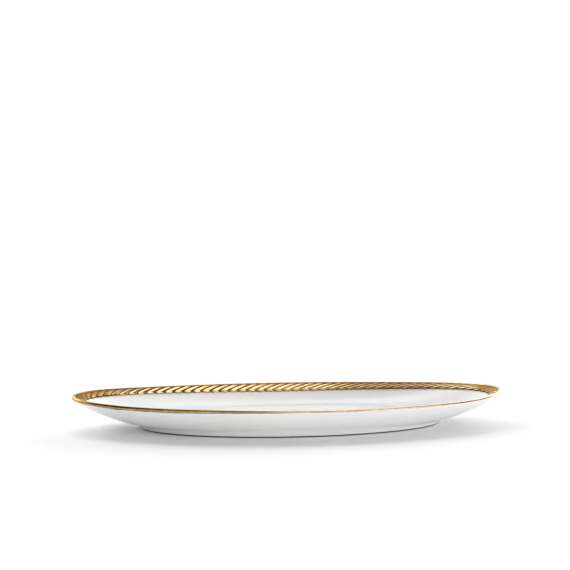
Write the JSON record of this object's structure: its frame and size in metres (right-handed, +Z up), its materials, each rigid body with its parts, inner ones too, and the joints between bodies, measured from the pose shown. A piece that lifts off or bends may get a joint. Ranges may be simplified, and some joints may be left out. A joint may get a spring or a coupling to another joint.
{
  "type": "serving platter",
  "caption": "Long oval china serving platter with a flared wall on a low foot ring and a twisted-rope border in gilded relief round the inside of its rim.",
  "frame": {"origin": "on the table, under the middle of the platter", "axes": "+X along the length to one tip, +Y across to the middle of one long side, +Z up"},
  "size_m": [0.533, 0.254, 0.0413],
  "materials": {
    "glazed_porcelain": "clear gloss glaze over white porcelain",
    "bare_porcelain": "unglazed, ground smooth",
    "burnished_gold": "burnished gold film, a few micrometres thick, fired over the glaze"
  },
  "bodies": {
    "root": {"well_base": "glazed_porcelain", "flared_wall": "glazed_porcelain", "foot_ring": "glazed_porcelain", "foot_bearing_band": "bare_porcelain", "rope_border": "burnished_gold", "gilded_lip": "burnished_gold"}
  },
  "joints": []
}
